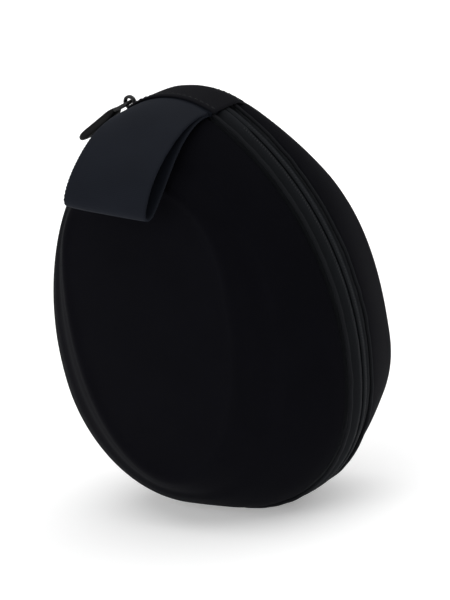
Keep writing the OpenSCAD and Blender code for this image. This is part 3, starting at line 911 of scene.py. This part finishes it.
# %% [markdown]
# Under the tab the two layers lie on each other, sewn to the lid, and this tail rides on it.

# %% The strap's sewn tail
TAIL_T, TAIL_WAY = 1.02, TAB_WAY * 0.985


def tail_section(low):
    """One flat layer of webbing under the tab."""
    depths = [10.4, 8.5, 6, 3.5, 1.2, 0.7]
    return [(d, low + TAIL_T) for d in depths] + [(d, low) for d in reversed(depths)]


for layer, low, stands_for in (("outer", 1.45, ["strap_tail"]), ("inner", 0.35, ())):
    sweep(f"strap_tail_{layer}", LID, spaced(-TAIL_WAY, TAIL_WAY, 1.0),
          lambda way: tail_section(low), strap_webbing, "lid", stands_for)


# %% [markdown]
# ## Inside the lid
#
# A mesh pocket crosses the lower part of the lid's bowl, with a ribbed elastic along its mouth.
# Its outline is the lining's own outline at that depth. The mesh is a real net: a grid of
# squares set on their corners, cut to the outline by planes and then thinned to threads. The
# threads are half a millimetre across, which is coarse for such a net: finer ones have so
# little surface that the net no longer counts as the cloth that it was cut from.

# %% The pocket's outline
POCKET_DEPTH, POCKET_MOUTH, ELASTIC_H, ELASTIC_T = 34.4, 8.0, 8.0, 2.4


def lining_outline(depth, clear, count=72):
    """The lid lining's outline at a depth, in millimetres from the rim's middle."""
    inner = WALL_T + clear
    share = (depth - BAND_HALF) / (LID_FORM["ridge"] - inner - BAND_HALF)
    points = [wall_at(LID_FORM, ROUND * i / count, share, inner) for i in range(count)]
    return [Vector((p.x, p.z)) for p in points]


outline = lining_outline(POCKET_DEPTH, 0.4)
pocket_w = 2 * max(p.x for p in outline)

# %% The mesh
HOLE, THREAD_T = 1.6, 0.5
bm = bmesh.new()
half = int(pocket_w / HOLE / 1.4)
bmesh.ops.create_grid(bm, x_segments=2 * half, y_segments=2 * half, size=half * HOLE * MM)
bmesh.ops.rotate(bm, verts=bm.verts, matrix=Matrix.Rotation(math.radians(45), 3, "Z"))
bmesh.ops.rotate(bm, verts=bm.verts, matrix=Matrix.Rotation(math.radians(90), 3, "X"))
bmesh.ops.translate(bm, verts=bm.verts, vec=case_point(0, -POCKET_DEPTH, -30))


def cut_away(place, normal):
    """Cuts the grid by a plane and removes what is on the side its normal points to."""
    everything = bm.verts[:] + bm.edges[:] + bm.faces[:]
    bmesh.ops.bisect_plane(bm, geom=everything, plane_co=place, plane_no=normal,
                           clear_outer=True, dist=1e-6)


cut_away(case_point(0, -POCKET_DEPTH, POCKET_MOUTH + 1), (0, 0, 1))
for here, ahead in zip(outline, outline[1:] + outline[:1]):
    side = ahead - here
    if min(here.y, ahead.y) < POCKET_MOUTH + 6:
        cut_away(case_point(here.x, -POCKET_DEPTH, here.y), (-side.y, 0, side.x))
pocket_area = sum(face.calc_area() for face in bm.faces)
print("cells in the net", len(bm.faces))

# %% Thin the net to threads
bmesh.ops.wireframe(bm, faces=bm.faces, thickness=THREAD_T * MM, use_replace=True,
                    use_boundary=True, use_even_offset=True)
cloth = {v: (v.co.x, v.co.z) for v in bm.verts}
mesh_piece = new_piece("pocket_net", bm, pocket_mesh, cloth, "lid",
                       ["mesh_pocket"])


# %% [markdown]
# The elastic is woven with hard ribs across its width and is stretched along the mouth, so it
# lies straight from wall to wall.

# %% The elastic mouth
def half_width(height):
    """Where the outline crosses a height, on the right."""
    for here, ahead in zip(outline, outline[1:]):
        if here.x > 0 and (here.y - height) * (ahead.y - height) <= 0:
            return here.x + (ahead.x - here.x) * (height - here.y) / (ahead.y - here.y)
    return 0


elastic_ends = min(half_width(POCKET_MOUTH), half_width(POCKET_MOUTH + ELASTIC_H)) - 0.2
rings = []
elastic_ways = spaced(-elastic_ends, elastic_ends, 0.55)
for i, x in enumerate(elastic_ways):
    t = ELASTIC_T / 2 - (0.22 if i % 2 else 0)
    ring = [(-t, 0.5), (-t * 0.7, 0.1), (t * 0.7, 0.1), (t, 0.5), (t, 3), (t, 5), (t, 7.5),
            (t * 0.7, 7.9), (-t * 0.7, 7.9), (-t, 7.5), (-t, 5), (-t, 3)]
    rings.append([case_point(x, -POCKET_DEPTH + d, POCKET_MOUTH + z) for d, z in ring])
bm = bmesh.new()
lines = grow_tube(bm, rings)
elastic = new_piece("pocket_mouth_elastic", bm, elastic_band,
                    ring_cloth(lines, elastic_ways), "lid", ["pocket_elastic"])


# %% [markdown]
# ## The slider
#
# The slider is die-cast in one piece. Two plates run over and under the tapes, a neck joins them
# at the front through the slit, and a round crown on top holds the pull's link. It is drawn in
# its own frame: x runs along the zipper away from the tab, y across it and z outwards, with the
# origin on the tape. `ON_BAND` then carries it to where the slider is parked.

# %% The slider's own frame
SLIDER_L, SLIDER_W, PLATE = 10.0, 9.0, 1.3
UPPER_Z, SLIDER_GAP = 0.5, 0.5
CROWN_R, CROWN_HOLE, CROWN_W = 3.4, 1.9, 2.4
CROWN_X, CROWN_Z = -1.9, 4.6
PARK_WAY = TAB_WAY + SLIDER_L / 2 + 1.2
LINK_TILT, GRIP_TURN = math.radians(12), math.radians(8)

park, park_normal = rim_at(-PARK_WAY, 1.88)
x_axis = Vector((-park_normal.y, 0, park_normal.x))
z_axis = Vector((park_normal.x, 0, park_normal.y))
y_axis = Vector((0, -1, 0))
ON_BAND = Matrix.Translation(case_point(park.x, 0, park.y)) @ Matrix(
    (x_axis, y_axis, z_axis)).transposed().to_4x4() @ Matrix.Scale(MM, 4)
ON_LINK = ON_BAND @ Matrix.Translation((CROWN_X, 0, CROWN_Z)) @ Matrix.Rotation(-LINK_TILT, 4, "Y")
print("slider parked at", [round(v * 1000, 1) for v in ON_BAND.translation])


# %% Plates cut from an outline
def slab(bm, outline, low, high, bevel, segments=2):
    """A plate of an outline in x and y between two heights, with rounded edges."""
    base = [bmesh.ops.create_vert(bm, co=(x, y, low))["vert"][0] for x, y in outline]
    face = bmesh.ops.contextual_create(bm, geom=base)["faces"]
    made = bmesh.ops.extrude_face_region(bm, geom=face)["geom"]
    top = [v for v in made if isinstance(v, bmesh.types.BMVert)]
    bmesh.ops.translate(bm, verts=top, vec=(0, 0, high - low))
    if bevel:
        ends = {e for v in base + top for e in v.link_edges
                if abs(e.verts[0].co.z - e.verts[1].co.z) < 1e-6}
        bmesh.ops.bevel(bm, geom=list(ends), offset=bevel, offset_type="OFFSET", affect="EDGES",
                        segments=segments, profile=0.5, material=-1)


def rounded_corners(centres, radius, steps=6):
    """An outline with a quarter turn about each of four centres, from the first one's right."""
    points = []
    for (cx, cy), start in zip(centres, (0, 90, 180, 270)):
        for i in range(steps + 1):
            a = math.radians(start + 90 * i / steps)
            points.append((cx + radius * math.cos(a), cy + radius * math.sin(a)))
    return points


def plate_outline(length, front, back, corner):
    """A plate with rounded corners: `front` wide at its neck end, `back` at the other."""
    return rounded_corners([(sx * (length / 2 - corner), sy * (width / 2 - corner)) for
                            sx, sy, width in ((1, 1, back), (-1, 1, front), (-1, -1, front),
                                              (1, -1, back))], corner)


def put(name, bm, frame_of, finish, body, stands_for=()):
    """Carries a part drawn in millimetres into place and makes it a piece."""
    bmesh.ops.transform(bm, matrix=frame_of, verts=bm.verts)
    new_piece(name, bm, finish, None, body, stands_for)


# %% [markdown]
# The upper plate is domed and has a raised edge either side of the crown, which casters add to
# stiffen it. The lower plate is plain. Flanges turn down along both sides of the upper plate to
# guide the tapes.

# %% The slider's body
COIL_FOOT = -3.0
bm = bmesh.new()
outline = plate_outline(SLIDER_L, SLIDER_W - 1.4, SLIDER_W, 1.6)
slab(bm, outline, UPPER_Z, UPPER_Z + PLATE, 0.45, 3)
slab(bm, plate_outline(SLIDER_L - 0.4, SLIDER_W - 1.8, SLIDER_W - 0.4, 1.6),
     COIL_FOOT - SLIDER_GAP - PLATE - 0.4, COIL_FOOT - SLIDER_GAP - 0.4, 0.4, 2)
slab(bm, [(x * 0.8 + 0.2, y * 0.62) for x, y in outline], UPPER_Z + PLATE - 0.2,
     UPPER_Z + PLATE + 0.35, 0.25)
for side in (-1, 1):
    slab(bm, [(x * 0.9, y * 0.09 + side * (SLIDER_W / 2 - 0.65)) for x, y in outline],
         UPPER_Z - 0.25, UPPER_Z + 0.2, 0.12)
slab(bm, [(-4.2 + 3 * x, 0.4 * y) for x, y in ((0, -1), (0.85, -1), (1, -0.5), (1, 0.5),
                                               (0.85, 1), (0, 1))],
     COIL_FOOT - SLIDER_GAP - 0.5, UPPER_Z + 0.4, 0)
put("slider_casting", bm, ON_BAND, slider_metal, "slider", ["slider_body"])


# %% The crown and the link
def crown_rings(path, section):
    """Rings of a section drawn along an open path in x and z; section is out and across."""
    rings = []
    for i, (x, z) in enumerate(path):
        ahead = Vector(path[min(i + 1, len(path) - 1)]) - Vector(path[max(i - 1, 0)])
        out = Vector((ahead.y, -ahead.x)).normalized()
        rings.append([Vector((x + out.x * u, v, z + out.y * u)) for u, v in section])
    return rings


def oval(half_out, half_across, sides=12, square=2.6):
    """A rounded section, fuller than an ellipse."""
    points = []
    for k in range(sides):
        a = 2 * math.pi * k / sides
        reach = rounded_square(a, square)
        points.append((half_out * reach * math.cos(a), half_across * reach * math.sin(a)))
    return points


bm = bmesh.new()
middle_r, half_r = (CROWN_R + CROWN_HOLE) / 2, (CROWN_R - CROWN_HOLE) / 2
turns = [math.radians(-52 + 284 * i / 30) for i in range(31)]
arch = [(middle_r * math.cos(t), middle_r * math.sin(t)) for t in turns]
foot = CROWN_Z - UPPER_Z - PLATE
arch = [(arch[0][0] + 0.5, -foot - 0.2), (arch[0][0] + 0.25, -foot + 0.5)] + arch \
    + [(arch[-1][0] - 0.25, -foot + 0.5), (arch[-1][0] - 0.5, -foot - 0.2)]
grow_tube(bm, crown_rings(arch, oval(half_r, CROWN_W / 2)))
bmesh.ops.translate(bm, verts=bm.verts, vec=(CROWN_X, 0, CROWN_Z))
put("slider_crown_ring", bm, ON_BAND, slider_metal, "slider", ["slider_crown"])

# %% [markdown]
# The link is a stamped loop: a round pin through the crown, two flat bars and an end bar that
# the grip is moulded over.

# %% The link
LINK_L, LINK_W, LINK_BAR, PIN_R = 10.0, 6.2, 1.6, 0.9


def loop_path(length, width, corner):
    """A rounded rectangle in x and y, from the pin to the end bar."""
    return rounded_corners([(length - corner, width / 2 - corner), (corner, width / 2 - corner),
                            (corner, -width / 2 + corner), (length - corner, -width / 2 + corner)],
                           corner)


bm = bmesh.new()
path = [Vector(p) for p in loop_path(LINK_L + 0.1, LINK_W - LINK_BAR, 1.3)]
rings = []
for i, here in enumerate(path):
    ahead = path[(i + 1) % len(path)] - path[i - 1]
    out = Vector((ahead.y, -ahead.x)).normalized()
    near_pin = max(0, 1 - here.x / 1.6)
    flat = LINK_BAR / 2 * (1 - 0.12 * near_pin)
    rings.append([Vector((here.x - 0.7 + out.x * u, here.y + out.y * u, v))
                  for u, v in oval(flat, PIN_R, 12, 3.2)])
lines = grow(bm, rings + rings[:1])
bmesh.ops.weld_verts(bm, targetmap=dict(zip(lines[-1], lines[0])))
put("pull_loop", bm, ON_LINK, slider_metal, "pull", ["pull_link"])

# %% [markdown]
# The grip is soft rubber moulded over the link's end bar. It is thickest in the middle, round
# at both ends, and has a shallow panel with seven cross ribs on each face for the fingers.

# %% The grip
GRIP_L, GRIP_W, GRIP_T, GRIP_SQUARE = 29.0, 8.6, 4.4, 3
GRIP_X = LINK_L - LINK_BAR * 1.2


def grip_width(x):
    """Half the grip's width at a place along it."""
    r = GRIP_W / 2
    end = min(x, GRIP_L - x)
    waist = 0.35 * math.sin(math.pi * min(1, max(0, (x - 4) / (GRIP_L - 8)))) ** 2
    return (r if end >= r else math.sqrt(max(0, r * r - (r - end) ** 2))) - waist


def grip_half_t(x):
    """Half the grip's thickness along it: full in the middle, thin at its ends."""
    end = min(x, GRIP_L - x) / (GRIP_L / 2)
    return GRIP_T / 2 * (1 - (1 - min(1, end * 2.2)) ** 2.4 * 0.75)


def rib_height(x, across):
    """The cross ribs' relief in the finger panel."""
    place = (x - 8.0) / (GRIP_L - 12.0)
    if not 0 < place < 1 or abs(across) > 0.72:
        return 0
    edge = min(1, place * 12, (1 - place) * 12, (0.72 - abs(across)) * 10)
    return edge * (-0.35 + 0.35 * max(0, math.sin(math.pi * (place * 14 - 0.5))))


bm = bmesh.new()
rings = []
GRIP_RINGS, GRIP_SIDES = 116, 40
for i in range(GRIP_RINGS + 1):
    x = GRIP_L * (0.5 - 0.5 * math.cos(math.pi * (0.012 + 0.976 * i / GRIP_RINGS)))
    half_w, half_t = grip_width(x), grip_half_t(x)
    ring = []
    for k in range(GRIP_SIDES):
        a = 2 * math.pi * k / GRIP_SIDES
        reach = rounded_square(a, GRIP_SQUARE)
        across, up_down = reach * math.cos(a), reach * math.sin(a)
        relief = rib_height(x, across) * (1 if abs(up_down) > 0.9 else 0)
        ring.append(Vector((x, half_w * across, up_down * (half_t + relief))))
    rings.append(ring)
grow_tube(bm, rings)
turned = Matrix.Translation((GRIP_X, 0, 0)) @ Matrix.Rotation(GRIP_TURN, 4, "Y")
bmesh.ops.transform(bm, matrix=turned, verts=bm.verts)
put("pull_grip_rubber", bm, ON_LINK, grip_rubber, "pull", ["pull_grip"])


# %% [markdown]
# ## What the soft pieces were cut from
#
# Cloth hardly stretches, so each cloth piece should have about the area of the flat piece it
# was cut from. The covers and linings are ovals of cloth pressed over the foam. Measured over
# its crown, a skin is taken to be a ninth longer than its cut. That is an estimate of what cloth
# with a knitted backing gives in a heated mould. Below, only the cut lengths of the covers and
# linings, from the rim to the crown at the side, the top and the foot, are worked out, and
# nothing more is done with them. The webbing, the tab and the web are straight strips. Piping,
# tapes and bindings go with the cloth that they edge. The two foam cores fill their skins tightly.

OVAL, BEFORE_PRESSING = math.pi / 4, 0.9


def skin_length(form, way, depth):
    """The length over a skin from the rim to the crown, in millimetres."""
    line = meridian(form, way, depth)
    return sum((b - a).length for a, b in zip(line, line[1:])) + line[-1].xz.length / 2


for body, shape in (("back", BACK_FORM), ("lid", LID_FORM)):
    for node, depth, edges in (("cover", 0, ["piping_cord", "tape"]),
                               ("lining", WALL_T, ["edge_binding"])):
        side_l, top_l, foot_l = (skin_length(shape, way, depth) * BEFORE_PRESSING * MM
                                 for way in (HALF_WAY / 2, 0, HALF_WAY))

# %% [markdown]
# ## Light, floor and camera
#
# The case is black, so it is lit as a product would be in a light tent. A bright surround gives
# every grazing surface a pale edge, a large soft lamp overhead lifts the upward ones, and the
# face towards the camera stays dark. The floor is a light table, a white acrylic sheet with a
# weak glow of its own, so that the shadow stays faint. The view transform is Standard, which
# keeps a white surround white.

# %% The light tent
SURROUND = 0.22
scene = bpy.context.scene
world = bpy.data.worlds.new("light_tent")
world.use_nodes = True
surround = world.node_tree.nodes["Background"].inputs
surround["Color"].default_value = linear("#FFFFFF")
surround["Strength"].default_value = SURROUND
scene.world = world
scene.view_settings.view_transform = "Standard"


def soft_light(name, source, strength, spread):
    """Light from a wide sheet of white cloth, far off in the direction of its source."""
    light = bpy.data.lights.new(name, "SUN")
    light.energy = strength
    light.angle = math.radians(spread)
    lamp = bpy.data.objects.new(name, light)
    lamp.rotation_euler = Vector(source).to_track_quat("Z", "Y").to_euler()
    scene.collection.objects.link(lamp)


soft_light("overhead_cloth", (0.1, 0.2, 1), 2.1, 100)
soft_light("front_cloth", (-0.3, -1, 0.25), 1.5, 60)
case_middle = case_point(0, 0, 0)

# %% The floor
FLOOR_HALF, TABLE_GLOW = 6, 0.3
bm = bmesh.new()
bmesh.ops.create_grid(bm, x_segments=2, y_segments=2, size=FLOOR_HALF)
table_top, tree, shader = new_finish("white_acrylic_light_table")
for socket, value in (("Base Color", linear("#FCFCFC")), ("Roughness", 0.9),
                      ("Emission Color", linear("#FFFFFF")), ("Emission Strength", TABLE_GLOW)):
    shader.inputs[socket].default_value = value
mesh_object("floor", bm, table_top)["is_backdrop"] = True

# %% The camera
AZIMUTH, ELEVATION, ROLL = (math.radians(a) for a in (37.1, 16.4, 7.7))
DISTANCE, LENS_MM = 2.049, 260
away = Vector((math.sin(AZIMUTH) * math.cos(ELEVATION), -math.cos(AZIMUTH) * math.cos(ELEVATION),
               math.sin(ELEVATION)))
right = Vector((math.cos(AZIMUTH), math.sin(AZIMUTH), 0))
up = away.cross(right)
level = Matrix((right, up, away)).transposed()
turn = level @ Matrix.Rotation(-ROLL, 3, "Z")
camera_data = bpy.data.cameras.new("camera")
camera_data.sensor_width = 36
camera_data.sensor_fit = "AUTO"
camera_data.lens = LENS_MM
camera_data.clip_end = 50
camera = bpy.data.objects.new("camera", camera_data)
aim = case_middle + turn @ Vector((0.0077, -0.0006, 0))
camera.matrix_world = Matrix.Translation(aim + away * DISTANCE) @ turn.to_4x4()
scene.collection.objects.link(camera)
scene.camera = camera

# %% [markdown]
# ## Size
#
# The looks have to fill the same box as the frame, give or take the softness of cloth.

# %% Print both boxes
look_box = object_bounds()
boxes = {"cad": [list(c) for c in cad_box], "visual": [list(c) for c in look_box]}
for name, corners in boxes.items():
    print(name, "box in mm", [[round(c / MM, 1) for c in corner] for corner in corners])
